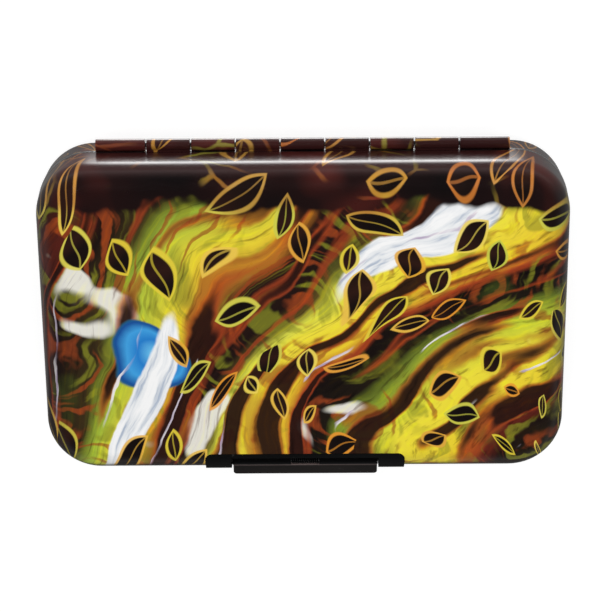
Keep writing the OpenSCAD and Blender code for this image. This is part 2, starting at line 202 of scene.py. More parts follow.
def pressed_half(name, finishes, flipped):
    """One half of the case: wall, rolled bend, flat face and a rounded bare rim."""
    stations = plan_stations()
    verts, prints, rims = [], [], []
    for out, up, run, below in PROFILE:
        for axis, way in stations:
            x, y = axis + out * way
            verts.append((x, y, SHUT_H - up if flipped else up))
            prints.append((axis + run * way) * MM)
            rims.append((0.0, below * MM))
    count, rings = len(stations), len(PROFILE)
    faces, kinds = [], []
    for ring in range(rings - 1):
        for s in range(count):
            t = (s + 1) % count
            faces.append((ring * count + s, ring * count + t,
                          (ring + 1) * count + t, (ring + 1) * count + s))
            kinds.append(0 if ring < PAINTED else 1)
    faces.append(tuple(reversed(range(count))))
    faces.append(tuple((rings - 1) * count + s for s in range(count)))
    kinds += [0, 1]
    if flipped:
        faces = [tuple(reversed(f)) for f in faces]
    return make_object(name, verts, faces, finishes, kinds, {"Print": prints, "Rim": rims})


# ---------- finishes ----------

def paint(code):
    """Linear colour from a six-digit screen colour."""
    parts = [int(code[i:i + 2], 16) / 255 for i in (0, 2, 4)]
    return tuple(p / 12.92 if p <= 0.04045 else ((p + 0.055) / 1.055) ** 2.4 for p in parts) + (1.0,)


def add_node(tree, kind, inputs=None, out=0, **settings):
    """A new node with its settings made and its inputs set or linked; gives one of its outputs."""
    made = tree.nodes.new(kind)
    for key, value in settings.items():
        setattr(made, key, value)
    for key, value in (inputs or {}).items():
        if isinstance(value, bpy.types.NodeSocket):
            tree.links.new(value, made.inputs[key])
        else:
            made.inputs[key].default_value = value
    return made.outputs[out]


class Finish:
    """A material with short ways to add and link nodes."""

    SOCKETS = {"color": "Base Color", "metal": "Metallic", "rough": "Roughness", "normal": "Normal",
               "coat": "Coat Weight", "coat_rough": "Coat Roughness", "sheen": "Sheen Weight",
               "specular": "Specular IOR Level"}

    def __init__(self, name):
        self.material = bpy.data.materials.new(name)
        self.material.use_nodes = True
        self.tree = self.material.node_tree
        self.shader = self.tree.nodes["Principled BSDF"]

    def add(self, kind, inputs=None, out=0, **settings):
        return add_node(self.tree, kind, inputs, out, **settings)

    def math(self, operation, a, b=0.0):
        return self.add("ShaderNodeMath", {0: a, 1: b}, operation=operation)

    def times(self, a, b):
        return self.math("MULTIPLY", a, b)

    def plus(self, a, b):
        return self.math("ADD", a, b)

    def minus(self, a, b):
        return self.math("SUBTRACT", a, b)

    def over(self, a, b):
        return self.math("DIVIDE", a, b)

    def size_of(self, a):
        return self.math("ABSOLUTE", a)

    def vector(self, operation, a, b=None, scale=None, out=0):
        inputs = {0: a}
        if b is not None:
            inputs[1] = b
        if scale is not None:
            inputs["Scale"] = scale
        return self.add("ShaderNodeVectorMath", inputs, out, operation=operation)

    def apart(self, where):
        """The x, y and z of a vector."""
        return tuple(self.add("ShaderNodeSeparateXYZ", {0: where}).node.outputs)

    def pair(self, x, y):
        return self.add("ShaderNodeCombineXYZ", {0: x, 1: y})

    def noise(self, where, scale, detail=2.0, rough=0.5, out="Fac"):
        return self.add("ShaderNodeTexNoise", {
            "Vector": where, "Scale": scale, "Detail": detail, "Roughness": rough}, out)

    def wander(self, where, scale, detail, reach):
        """A vector that drifts from place to place by up to half the reach."""
        drift = self.vector("SUBTRACT", self.noise(where, scale, detail, out="Color"), (0.5,) * 3)
        return self.vector("SCALE", drift, scale=reach)

    def step(self, value, low, high):
        """0 below low and 1 above high, smoothly; low may be the larger."""
        return self.add("ShaderNodeMapRange", {
            "Value": value, "From Min": low, "From Max": high}, interpolation_type="SMOOTHSTEP")

    def remap(self, value, low, high, to_low, to_high):
        return self.add("ShaderNodeMapRange", {
            "Value": value, "From Min": low, "From Max": high,
            "To Min": to_low, "To Max": to_high})

    def mix(self, amount, a, b, blend="MIX"):
        return self.add("ShaderNodeMix", {0: amount, 6: a, 7: b}, 2,
                        data_type="RGBA", blend_type=blend)

    def tint(self, color, mask, share, code, blend="MIX"):
        """Lays a screen colour over color, by this share where the mask is 1."""
        return self.mix(self.times(mask, share), color, paint(code), blend)

    def ramp(self, value, stops):
        made = self.tree.nodes.new("ShaderNodeValToRGB")
        elements = made.color_ramp.elements
        while len(elements) < len(stops):
            elements.new(0.5)
        for element, (at, _) in zip(elements, stops):
            element.position = at
        for element, (_, code) in zip(elements, stops):
            element.color = paint(code)
        self.tree.links.new(value, made.inputs["Fac"])
        return made.outputs["Color"]

    def place(self, turn=0.0, shift=(0, 0, 0), uv=None):
        """Object coordinates, or a UV map, in millimetres."""
        if uv:
            where = self.add("ShaderNodeUVMap", uv_map=uv)
        else:
            where = self.add("ShaderNodeTexCoord", out="Object")
        return self.add("ShaderNodeMapping", {
            "Vector": where, "Scale": (PER_MM,) * 3, "Rotation": (0, 0, turn), "Location": shift})

    def bump(self, height, strength, distance):
        return self.add("ShaderNodeBump", {
            "Height": height, "Strength": strength, "Distance": distance})

    def set(self, **values):
        for key, value in values.items():
            socket = self.shader.inputs[self.SOCKETS[key]]
            if isinstance(value, bpy.types.NodeSocket):
                self.tree.links.new(value, socket)
            else:
                socket.default_value = value
        return self.material


BANDS = [
    (0.000, "1a0f0d"), (0.070, "2a1310"), (0.090, "7c2a17"), (0.120, "a84a1c"),
    (0.135, "e8c326"), (0.175, "f0d62c"), (0.190, "9fb12a"), (0.205, "2b2412"),
    (0.245, "1c100e"), (0.262, "6b2416"), (0.280, "c8641c"), (0.296, "f2d62e"),
    (0.345, "f5e53a"), (0.375, "c9d433"), (0.400, "7d8f2b"), (0.418, "1f170f"),
    (0.462, "160d0c"), (0.475, "b0431c"), (0.492, "eec62a"), (0.545, "f6e63c"),
    (0.570, "dfe04a"), (0.590, "5d4a1c"), (0.612, "20120f"), (0.655, "2a1511"),
    (0.672, "c47a22"), (0.700, "f0d832"), (0.745, "a9c23a"), (0.775, "3d2f16"),
    (0.820, "1b0f0d"), (0.870, "5a1f15"), (0.930, "241310"), (1.000, "150c0b"),
]
POOL_WATER = [(0.0, "cfeaf8"), (0.22, "5fb8ec"), (0.45, "1f7fd0"), (0.68, "3fa3e4"),
              (0.86, "14509c"), (1.0, "1f6f66")]
LEAF_RIMS = [(0.2, "e9d23a"), (0.4, "ef9a2c"), (0.6, "f4dc5a"), (0.8, "c9cf48"), (1.0, "f0a53c")]
# Each sweep of foam: where it lies along the bands and out from their centre, its length, its width
FOAM_SWEEPS = ((203.0, 127.0, 25.0, 5.6), (268.0, 158.0, 24.0, 5.0))


class RiverPrint(Finish):
    """The printed pattern: colour bands round a far centre, bent by a slow swirl."""

    CENTRE = (98.0, -78.0, 0.0)
    BANDS_REACH = 225.0
    UNROLL_R = 95.0

    def __init__(self, name, turn, shift):
        super().__init__(name)
        self.flat = self.place(uv="Print")
        self.sheet = self.place(turn, shift, uv="Print")
        ripple = self.wander(self.sheet, 0.075, 3.0, 8.0)
        drawn = self.vector("ADD", self.sheet, self.wander(self.sheet, 0.017, 1.5, 46.0))
        self.bent = self.vector("ADD", drawn, self.vector("SCALE", ripple, scale=0.45))
        self.reach, self.angle = self.polar(self.bent)
        self.calm_reach, self.calm_angle = self.polar(drawn)
        self.stroke = self.noise(self.banded(0.62, 0.09), 1.0, 3.0, 0.55)
        _, up, _ = self.apart(self.vector("ADD", self.flat, self.vector("SCALE", ripple, scale=0.9)))
        waves = self.minus(self.noise(self.sheet, 0.035, 3.0, 0.6), 0.5)
        self.up = self.plus(up, self.times(waves, 26.0))

    def polar(self, where):
        """Distance from the bands' centre, and the run along them."""
        x, y, _ = self.apart(self.vector("SUBTRACT", where, self.CENTRE))
        turned_by = self.math("ARCTAN2", y, x)
        return self.vector("DISTANCE", where, self.CENTRE, out=1), self.times(turned_by, self.UNROLL_R)

    def banded(self, across, along):
        """A place in the bands, scaled on its own across them and along them."""
        return self.pair(self.times(self.reach, across), self.times(self.angle, along))

    def washes(self, color):
        """Washes of olive, rust, cream and green over the bands."""
        wash = self.noise(self.vector("MULTIPLY", self.bent, (0.034, 0.05, 1.0)), 1.0, 1.6, 0.5)
        other = self.noise(self.vector("ADD", self.bent, (60.0, 20.0, 5.0)), 0.042, 1.6, 0.5)
        for field, low, high, share, code in (
            (wash, 0.53, 0.66, 0.60, "8d8f24"), (wash, 0.44, 0.34, 0.72, "9c4218"),
            (other, 0.66, 0.70, 0.90, "f4f1e6"), (other, 0.40, 0.30, 0.55, "4a5a1f"),
        ):
            color = self.tint(color, self.step(field, low, high), share, code)
        return color

    def strokes(self, color):
        """Broad dark strokes with a rust fringe, then fine brush strokes."""
        broad = self.noise(self.banded(0.135, 0.017), 1.0, 1.2, 0.4)
        color = self.tint(color, self.step(broad, 0.53, 0.60), 0.80, "a5401a")
        color = self.tint(color, self.step(broad, 0.58, 0.63), 0.95, "1c0f0d")
        color = self.tint(color, self.step(self.stroke, 0.50, 0.68), 0.45, "f7ee63", "OVERLAY")
        return self.tint(color, self.step(self.stroke, 0.46, 0.30), 0.55, "5b2313", "MULTIPLY")

    def pool(self, color):
        """A blue pool with pale light in it."""
        narrowed = self.vector("MULTIPLY", self.bent, (0.80, 1.0, 1.0))
        far = self.vector("DISTANCE", narrowed, (-37.4, -9.0, 0.0), out=1)
        return self.mix(self.step(far, 10.2, 9.4), color, self.ramp(self.over(far, 10.5), POOL_WATER))

    def foam(self, color):
        """White foam in sweeps along the bands, shaded blue."""
        white = self.ramp(self.stroke, [(0.30, "b4c0d2"), (0.44, "eceff2"), (0.6, "ffffff")])
        for along, out_at, long, wide in FOAM_SWEEPS:
            far = self.vector("LENGTH", self.pair(
                self.over(self.minus(self.angle, along), long),
                self.over(self.minus(self.reach, out_at), wide)), out=1)
            color = self.mix(self.step(far, 1.0, 0.86), color, white)
        return color

    def pale_lines(self, color):
        """Thin pale lines along the bands, broken here and there."""
        wavy = self.plus(self.reach, self.times(self.noise(self.sheet, 0.05, 2.0), 9.0))
        broken = self.step(self.noise(self.banded(0.10, 0.035), 1.0, 2.0), 0.54, 0.60)
        line = self.times(self.step(self.math("PINGPONG", wavy, 9.5), 0.55, 0.25), broken)
        pale = self.ramp(self.stroke, [(0.4, "b9a6c4"), (0.6, "f6f1f2")])
        return self.mix(self.times(line, 0.9), color, pale)

    def hinge_band(self, color):
        """Dark band along the hinge edge, with faint outlines in it."""
        cells = self.vector("MULTIPLY", self.bent, (0.07, 0.13, 0.1))
        edge = self.add("ShaderNodeTexVoronoi", {"Vector": cells, "Scale": 1.0},
                        voronoi_dimensions="2D", feature="DISTANCE_TO_EDGE")
        tone = self.ramp(self.noise(self.sheet, 0.03, 2.0), [
            (0.35, "0f090a"), (0.5, "1e0d0d"), (0.62, "4a1a15"), (0.75, "1c110c")])
        hue = self.ramp(self.noise(self.sheet, 0.045, 1.0), [
            (0.35, "b03a2c"), (0.5, "d8902c"), (0.62, "cfd04a")])
        shown = self.step(self.noise(self.sheet, 0.06, 1.0), 0.50, 0.64)
        outline = self.times(self.step(edge, 0.07, 0.02), shown)
        band = self.mix(self.times(outline, 0.35), tone, hue)
        return self.mix(self.step(self.up, 33.5, 36.5), color, band)

    def leaves(self, color):
        """Dark leaves with a bright rim and a midrib, adrift along the bands."""
        leaf_at = self.pair(self.times(self.calm_angle, 0.060), self.times(self.calm_reach, 0.092))
        cell = self.add("ShaderNodeTexVoronoi", {"Vector": leaf_at, "Scale": 1.0, "Randomness": 0.6},
                        voronoi_dimensions="2D").node.outputs
        luck = self.add("ShaderNodeSeparateColor", {0: cell["Color"]}).node.outputs
        from_mid = self.vector("MULTIPLY", self.vector("SUBTRACT", leaf_at, cell["Position"]),
                               (16.7, 10.9, 0.0))
        along, aside, _ = self.apart(self.add("ShaderNodeVectorRotate", {
            "Vector": from_mid, "Axis": (0, 0, 1), "Angle": self.times(self.minus(luck[2], 0.5), 2.4)}))
        long = self.remap(luck[0], 0.0, 1.0, 3.6, 7.0)
        taper = self.minus(1.0, self.math("POWER", self.over(self.size_of(along), long), 2.2))
        curl = self.times(self.math("SINE", self.times(along, 0.5)), 0.4)
        off = self.size_of(self.plus(aside, curl))
        inside = self.minus(self.times(taper, self.times(long, 0.56)), off)
        drift = self.times(self.step(self.noise(cell["Position"], 0.30, 1.0), 0.40, 0.41),
                           self.step(luck[1], 0.12, 0.13))
        rim = self.tint(self.ramp(luck[1], LEAF_RIMS), self.step(self.up, 31.0, 38.0), 0.62, "a8352a")
        body = self.ramp(self.plus(self.times(along, 0.06), luck[2]), [
            (0.1, "120a09"), (0.5, "1e100d"), (0.8, "2f1710"), (1.0, "170d0b")])
        body = self.mix(self.times(self.step(off, 0.30, 0.12), 0.45), body, rim)
        edge = self.times(self.step(inside, -0.25, 0.20), drift)
        color = self.mix(self.times(edge, 0.92), color, rim)
        return self.mix(self.times(self.step(inside, 0.62, 1.0), drift), color, body)

    def wall_tone_and_painted_shade(self, color):
        """A maroon print tone down the hinge wall; painted shade over the two ends, where the print turns
        away, and at the foot of the front.
        """
        x, y, _ = self.apart(self.flat)
        color = self.tint(color, self.step(y, 44.0, 47.5), 0.30, "4e2422")
        # Painted shade: the print's two ends, where it turns round the corners, are darkened.
        color = self.tint(color, self.step(self.size_of(x), 66.0, 80.0), 0.75, "1c110f")
        # Painted shade: near black along the foot of the front, where the roll turns from the light.
        return self.tint(color, self.step(y, -44.2, -46.2), 0.70, "0f0a0a")


def river_print(name, turn, shift):
    """The river pattern under a satin clear coat, worn through to metal at the rim."""
    f = RiverPrint(name, turn, shift)
    color = f.ramp(f.over(f.reach, f.BANDS_REACH), BANDS)
    for layer in (f.washes, f.strokes, f.pool, f.foam, f.pale_lines, f.hinge_band, f.leaves,
                  f.wall_tone_and_painted_shade):
        color = layer(color)
    grain = f.place()
    _, below, _ = f.apart(f.add("ShaderNodeUVMap", uv_map="Rim"))
    rub = f.plus(f.times(below, PER_MM), f.times(f.noise(grain, 1.3, 3.0), -1.1))
    worn = f.step(rub, -0.16, -0.28)
    metal = f.ramp(f.noise(grain, 6.0, 2.0), [(0.3, "a9abad"), (0.7, "d5d6d7")])
    scuff = f.noise(f.vector("MULTIPLY", grain, (0.5, 5.0, 5.0)), 1.0, 3.0)
    rough = f.plus(f.remap(f.noise(grain, 0.12, 3.0), 0.3, 0.7, 0.27, 0.36),
                   f.times(f.step(scuff, 0.66, 0.74), 0.10))
    peel = f.bump(f.noise(grain, 1.1, 2.0), 0.10, 0.00004)
    return f.set(color=f.mix(worn, color, metal), metal=worn, rough=rough, normal=peel,
                 specular=0.3, coat=0.9, coat_rough=0.18)


def bare_metal(name, tone_low, tone_high, rough):
    """Cut or drawn metal with fine drawing lines."""
    f = Finish(name)
    at = f.place()
    lines = f.noise(f.vector("MULTIPLY", at, (0.25, 4.0, 9.0)), 1.0, 3.0)
    color = f.ramp(f.noise(at, 0.2, 3.0), [(0.3, tone_low), (0.7, tone_high)])
    return f.set(color=color, metal=1.0,
                 rough=f.remap(lines, 0.3, 0.7, rough - 0.08, rough + 0.08),
                 normal=f.bump(lines, 0.15, 0.00003))


def moulded(name, dark, pale, rough, grain=2.6, painted_shade_height=None):
    """Moulded plastic or enamel: fine spark texture, flow marks and a little dust.

    Given a height, it is painted near black above it, a painted shade, and has a painted highlight line just
    under it."""
    f = Finish(name)
    at = f.place()
    flow = f.noise(f.vector("MULTIPLY", at, (0.03, 0.12, 0.12)), 1.0, 3.0)
    spark = f.noise(at, grain, 3.0, 0.6)
    dust = f.noise(at, 0.5, 4.0, 0.7)
    color = f.mix(f.step(flow, 0.35, 0.7), paint(dark), paint(pale))
    color = f.tint(color, f.step(dust, 0.62, 0.78), 0.18, "6c6a68")
    if painted_shade_height:
        # Painted shade: near black above the given height, standing for the shade in the lever's pocket.
        _, _, ragged = f.apart(f.vector("ADD", at, f.wander(at, 0.4, 2.0, 1.2)))
        color = f.mix(f.step(ragged, painted_shade_height - 0.8, painted_shade_height + 0.6), color, paint("040405"))
        # Painted highlight: a pale pinkish line just under that height, along the lever's top edge.
        _, _, height = f.apart(at)
        edge = f.times(f.step(height, painted_shade_height - 1.1, painted_shade_height - 0.5), f.step(height, painted_shade_height + 0.5, painted_shade_height))
        color = f.tint(color, edge, 0.85, "8a7875")
    return f.set(color=color, rough=f.remap(spark, 0.3, 0.7, rough - 0.07, rough + 0.09),
                 normal=f.bump(spark, 0.25, 0.00004), specular=0.3)


def closed_foam(name, tone, shade):
    """Closed-cell foam: open pores where it was cut, soft and matt."""
    f = Finish(name)
    at = f.place()
    pore = f.add("ShaderNodeTexVoronoi", {"Vector": at, "Scale": 3.4})
    fine = f.noise(at, 1.8, 4.0, 0.65)
    color = f.mix(f.step(f.noise(at, 0.06, 3.0), 0.3, 0.7), paint(shade), paint(tone))
    # Painted shade darkens the open pores.
    color = f.tint(color, f.step(pore, 0.22, 0.08), 0.35, "3a3b3e")
    height = f.plus(pore, f.times(fine, 0.5))
    return f.set(color=color, rough=f.remap(fine, 0.3, 0.7, 0.84, 0.97),
                 normal=f.bump(height, 0.35, 0.00012), sheen=0.15, specular=0.2)


def paper_tape(name):
    """The adhesive sheet's fibrous paper."""
    f = Finish(name)
    fibre = f.noise(f.vector("MULTIPLY", f.place(), (0.4, 1.6, 1.0)), 1.0, 4.0)
    return f.set(color=f.ramp(fibre, [(0.3, "b99f6a"), (0.7, "d9c592")]),
                 rough=f.remap(fibre, 0.3, 0.7, 0.55, 0.75),
                 normal=f.bump(fibre, 0.2, 0.00003))


LID_PRINT = river_print("Lid print", 0.0, (0.0, 0.0, 0.0))
BASE_PRINT = river_print("Base print", math.radians(180), (31.0, 12.0, 7.0))
ALUMINIUM = bare_metal("Bare aluminium", "b9bbbc", "dcdcdb", 0.34)
STEEL = bare_metal("Hinge steel", "8e9092", "b4b5b6", 0.28)
SPRING = bare_metal("Blued spring wire", "1c1d20", "2a2b2e", 0.38)
HOUSING = moulded("Housing plastic", "08090a", "0d0e0f", 0.50)
# The lever is painted near black above 21.4 mm as shade in its pocket, with a painted highlight line just
# below.
LEVER = moulded("Lever plastic", "1a1615", "221d1b", 0.38, painted_shade_height=21.4)
LINER = moulded("Liner plastic", "101112", "17181a", 0.55, 1.6)
CATCH = moulded("Catch enamel", "0b0b0c", "131314", 0.35)
FOAM = closed_foam("Closed foam", "8d9095", "7c7f84")
TAPE = paper_tape("Adhesive sheet")


# ---------- case ----------

NOTCH_W, NOTCH_H, NOTCH_DEPTH = HINGE_W + 0.3, 0.95, 2.6
CUTOUT_W, CUTOUT_DEPTH, CUTOUT_R = 58.7, 6.5, 2.1
PAST = 1.0    # how far a cutter runs past what it cuts

case_base = pressed_half("case_base", [BASE_PRINT, ALUMINIUM], False)
case_lid = pressed_half("case_lid", [LID_PRINT, ALUMINIUM], True)
for half, low, high in (
    (case_base, HALF_H - NOTCH_H, HALF_H + PAST),
    (case_lid, HALF_H + PARTING - PAST, HALF_H + PARTING + NOTCH_H),
):
    cut(half, block("notch", (-NOTCH_W / 2, REAR - NOTCH_DEPTH, low),
                    (NOTCH_W / 2, REAR + PAST, high), ALUMINIUM))


def housing_cutter():
    """The latch housing's outline with its play, through the lid's face."""
    inner = CUTOUT_W / 2 - CUTOUT_R
    plan = [(-CUTOUT_W / 2, -FRONT - 3 * PAST), (CUTOUT_W / 2, -FRONT - 3 * PAST)]
    for cx, start in ((inner, 0), (-inner, 90)):
        for k in range(9):
            turn = math.radians(start + 90 * k / 8)
            plan.append((cx + CUTOUT_R * math.cos(turn),
                         -FRONT + CUTOUT_DEPTH - CUTOUT_R + CUTOUT_R * math.sin(turn)))
    n = len(plan)
    verts = [(x, y, z) for z in (HALF_H + PARTING - PAST, SHUT_H + PAST) for x, y in plan]
    faces = [tuple(reversed(range(n))), tuple(range(n, 2 * n))] + side_faces(n)
    return make_object("housing_cut", verts, faces, [ALUMINIUM])


cut(case_lid, housing_cutter())


def fit(piece, body, slot, *nodes):
    """Hangs a finished piece on its body in place of the nodes it stands for."""
    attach(piece, body)
    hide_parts(*nodes)
    return piece


fit(smooth(case_base), "base", "print", "base_shell")
fit(smooth(case_lid), "lid", "print", "lid_shell")


# ---------- node trees for what repeats or follows a path ----------

def tree_of(name, inputs):
    """A geometry tree with named inputs; gives the tree, its input sockets and its output node."""
    tree = bpy.data.node_groups.new(name, "GeometryNodeTree")
    tree.interface.new_socket("Geometry", in_out="INPUT", socket_type="NodeSocketGeometry")
    for label, kind in inputs:
        tree.interface.new_socket(label, in_out="INPUT", socket_type="NodeSocket" + kind)
    tree.interface.new_socket("Geometry", in_out="OUTPUT", socket_type="NodeSocketGeometry")
    return tree, tree.nodes.new("NodeGroupInput").outputs, tree.nodes.new("NodeGroupOutput")


def close_tree(tree, end, shape, finish):
    whole = add_node(tree, "GeometryNodeRealizeInstances", {0: shape})
    dressed = add_node(tree, "GeometryNodeSetMaterial", {"Geometry": whole, "Material": finish})
    tree.links.new(dressed, end.inputs[0])
    return tree


def grow(piece, tree, **values):
    """Runs a tree on the piece with these inputs and keeps the plain mesh."""
    modifier = piece.modifiers.new(tree.name, "NODES")
    modifier.node_group = tree
    for item in tree.interface.items_tree:
        key = item.name.lower().replace(" ", "_")
        if item.in_out == "INPUT" and key in values:
            modifier[item.identifier] = values[key]
    return settle(piece)


def row_tree():
    """Copies one shape onto each point, stretched by the point's span and turned alike."""
    tree, pick, end = tree_of("Row of copies", [
        ("Copy", "Object"), ("Turn", "Vector"), ("Finish", "Material")])
    shape = add_node(tree, "GeometryNodeObjectInfo", {"Object": pick["Copy"]}, 4)
    span = add_node(tree, "GeometryNodeInputNamedAttribute", {"Name": "span"}, data_type="FLOAT_VECTOR")
    spread = add_node(tree, "GeometryNodeInstanceOnPoints", {
        "Points": pick["Geometry"], "Instance": shape, "Rotation": pick["Turn"], "Scale": span})
    return close_tree(tree, end, spread, pick["Finish"])


def wire_tree():
    """Draws a round wire along a path."""
    tree, pick, end = tree_of("Wire on a path", [("Wire radius", "Float"), ("Finish", "Material")])
    path = add_node(tree, "GeometryNodeMeshToCurve", {"Mesh": pick["Geometry"]})
    section = add_node(tree, "GeometryNodeCurvePrimitiveCircle", {
        "Resolution": 10, "Radius": pick["Wire radius"]})
    wire = add_node(tree, "GeometryNodeCurveToMesh", {
        "Curve": path, "Profile Curve": section, "Fill Caps": True})
    return close_tree(tree, end, wire, pick["Finish"])


def slit_tree():
    """Sinks channels and slits into a pad from how far each point lies from them."""
    labels = ("Slit depth", "Slit half width", "Lip", "Lip drop",
              "Channel depth", "Channel half width", "Shoulder")
    tree, pick, end = tree_of("Slit foam", [(label, "Float") for label in labels] + [("Finish", "Material")])

    def named(label):
        return add_node(tree, "GeometryNodeInputNamedAttribute", {"Name": label}, data_type="FLOAT")

    def total(a, b, operation="ADD"):
        return add_node(tree, "ShaderNodeMath", {0: a, 1: b}, operation=operation)

    def dip(far, near, reach, depth):
        return add_node(tree, "ShaderNodeMapRange", {
            "Value": far, "From Min": near, "From Max": reach, "To Min": depth, "To Max": 0.0},
            interpolation_type="SMOOTHSTEP")

    half = pick["Slit half width"]
    gap = dip(named("slit"), total(half, 0.4, "MULTIPLY"), half, pick["Slit depth"])
    lip = dip(named("slit"), half, pick["Lip"], pick["Lip drop"])
    groove = dip(named("channel"), pick["Channel half width"],
                 total(pick["Channel half width"], pick["Shoulder"]), pick["Channel depth"])
    depth = total(total(gap, lip), groove, "MAXIMUM")
    down = add_node(tree, "ShaderNodeCombineXYZ", {2: total(depth, -MM, "MULTIPLY")})
    sunk = add_node(tree, "GeometryNodeSetPosition", {"Geometry": pick["Geometry"], "Offset": down})
    return close_tree(tree, end, sunk, pick["Finish"])


ROW, WIRE, SLITS = row_tree(), wire_tree(), slit_tree()


def points(name, places, spans=None):
    """Loose points with a span each, to carry copies."""
    made = make_object(name, places, [], [])
    span = made.data.attributes.new("span", "FLOAT_VECTOR", "POINT")
    span.data.foreach_set("vector", np.asarray(spans or [(1, 1, 1)] * len(places), float).ravel())
    return made


def join(name, *pieces):
    """One object from several, keeping materials, maps and smoothness."""
    mesh = bpy.data.meshes.new(name)
    built = bmesh.new()
    finishes = []
    for piece in pieces:
        first = len(built.faces)
        built.from_mesh(piece.data)
        built.faces.ensure_lookup_table()
        slots = []
        for finish in piece.data.materials:
            if finish not in finishes:
                finishes.append(finish)
            slots.append(finishes.index(finish))
        for face in built.faces[first:]:
            face.material_index = slots[face.material_index]
    built.to_mesh(mesh)
    built.free()
    for finish in finishes:
        mesh.materials.append(finish)
    drop(*pieces)
    return in_scene(name, mesh)


def turned(name, profile, finish, steps=32):
    """Solid of revolution round Z from (radius, height) points, ends on the axis."""
    verts, faces, rings = [], [], []
    for radius, height in profile:
        if radius == 0:
            rings.append([len(verts)])
            verts.append((0, 0, height))
        else:
            rings.append([len(verts) + k for k in range(steps)])
            verts += [(radius * math.cos(2 * math.pi * k / steps),
                       radius * math.sin(2 * math.pi * k / steps), height) for k in range(steps)]
    for a, b in zip(rings, rings[1:]):
        for k in range(steps):
            n = (k + 1) % steps
            face = [a[k % len(a)], a[n % len(a)], b[n % len(b)], b[k % len(b)]]
            faces.append(tuple(dict.fromkeys(face)))
    return make_object(name, verts, faces, [finish])


def softened(node, name, finish, width, clean=True):
    """A copy of a node with its edges broken, as moulding or pressing leaves them."""
    built = bmesh.new()
    built.from_mesh(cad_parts[node].data)
    bmesh.ops.remove_doubles(built, verts=built.verts, dist=1e-6)
    if clean:
        bmesh.ops.dissolve_limit(built, angle_limit=math.radians(0.6), verts=built.verts, edges=built.edges)
    edges = [e for e in built.edges if e.is_manifold and e.calc_face_angle(0) > math.radians(28)]
    bmesh.ops.bevel(built, geom=edges, offset=width * MM, offset_type="OFFSET", segments=2,
                    profile=0.5, affect="EDGES", clamp_overlap=True)
    mesh = bpy.data.meshes.new(name)
    built.to_mesh(mesh)
    built.free()
    mesh.materials.append(finish)
    return smooth(in_scene(name, mesh))


# ---------- hinge ----------

KNUCKLES, PITCH, KNUCKLE_GAP = 9, 12.7, 0.35
END_KNUCKLE = (HINGE_W - (KNUCKLES - 2) * PITCH) / 2
LEAF_T, LEAF_DROP = 0.8, 7.0
ROLL_OUTER, ROLL_INNER, ROLL_CHAMFER = BARREL_D / 2, PIN_BORE / 2, 0.14
SEAM_AT, SEAM_GAP = math.radians(174), math.radians(5)
RIM_RUN = STRAIGHT_D / 2 + PROFILE[PAINTED - 1][2]
FAR_FROM_WEAR, WEAR_MARGIN = 9.0, 0.42


def knuckle_mesh(name, finish):
    """One rolled knuckle a millimetre long, with its seam and its strap, for the base."""
    steps = 40
    turns = [SEAM_AT + SEAM_GAP / 2 + (2 * math.pi - SEAM_GAP) * k / steps for k in range(steps + 1)]
    end = 0.5 - ROLL_CHAMFER / PITCH
    along = [(-0.5, ROLL_CHAMFER)] + [(x, 0) for x in (
        -end, -0.47, -0.43, -0.2, 0, 0.2, 0.43, 0.47, end)] + [(0.5, ROLL_CHAMFER)]
    verts, faces = [], []
    for x, less in along:
        for radius in (ROLL_OUTER - less, ROLL_INNER + less / 2):
            verts += [(x, radius * math.cos(t), radius * math.sin(t)) for t in turns]
    n = steps + 1
    for a in range(len(along) - 1):
        o, i = a * 2 * n, a * 2 * n + n
        for k in range(steps):
            faces.append((o + k, o + k + 1, o + 2 * n + k + 1, o + 2 * n + k))
            faces.append((i + k + 1, i + k, i + 2 * n + k, i + 2 * n + k + 1))
        faces.append((i, o, o + 2 * n, i + 2 * n))
        faces.append((o + steps, i + steps, i + 2 * n + steps, o + 2 * n + steps))
    last = (len(along) - 1) * 2 * n
    for k in range(steps):
        faces.append((k + 1, k, n + k, n + k + 1))
        faces.append((last + k, last + k + 1, last + n + k + 1, last + n + k))
    roll = make_object(name, verts, faces, [finish])
    strap = block(name + "_strap", (-0.5, REAR - SKIN - AXIS_Y, HALF_H - LEAF_T - AXIS_Z),
                  (0.5, -BARREL_D / 4, HALF_H - AXIS_Z), finish)
    return join(name, roll, strap)


def knuckle_ends(k):
    """Where knuckle k starts and stops, with its share of the gaps to its neighbours."""
    low = -HINGE_W / 2 + (END_KNUCKLE + (k - 1) * PITCH + KNUCKLE_GAP / 2 if k else 0)
    high = -HINGE_W / 2 + END_KNUCKLE + k * PITCH - KNUCKLE_GAP / 2
    return low, HINGE_W / 2 if k == KNUCKLES - 1 else high


def leaf_leg(name):
    """The leaf's neck over the rim and its leg down the wall."""
    thick = LEAF_T / math.cos(LEAN)
    top, foot = REAR + wall_at(0, SKIN), REAR + wall_at(LEAF_DROP, SKIN)
    section = [(REAR, HALF_H), (REAR, HALF_H - LEAF_T), (top - 0.02, HALF_H - LEAF_T),
               (foot, HALF_H - LEAF_DROP), (foot - thick, HALF_H - LEAF_DROP), (top - thick, HALF_H)]
    n = len(section)
    verts = [(x, y, z) for x in (-HINGE_W / 2, HINGE_W / 2) for y, z in section]
    faces = [tuple(range(n)), tuple(reversed(range(n, 2 * n)))]
    faces += [tuple(reversed(face)) for face in side_faces(n)]
    return make_object(name, verts, faces, [ALUMINIUM])


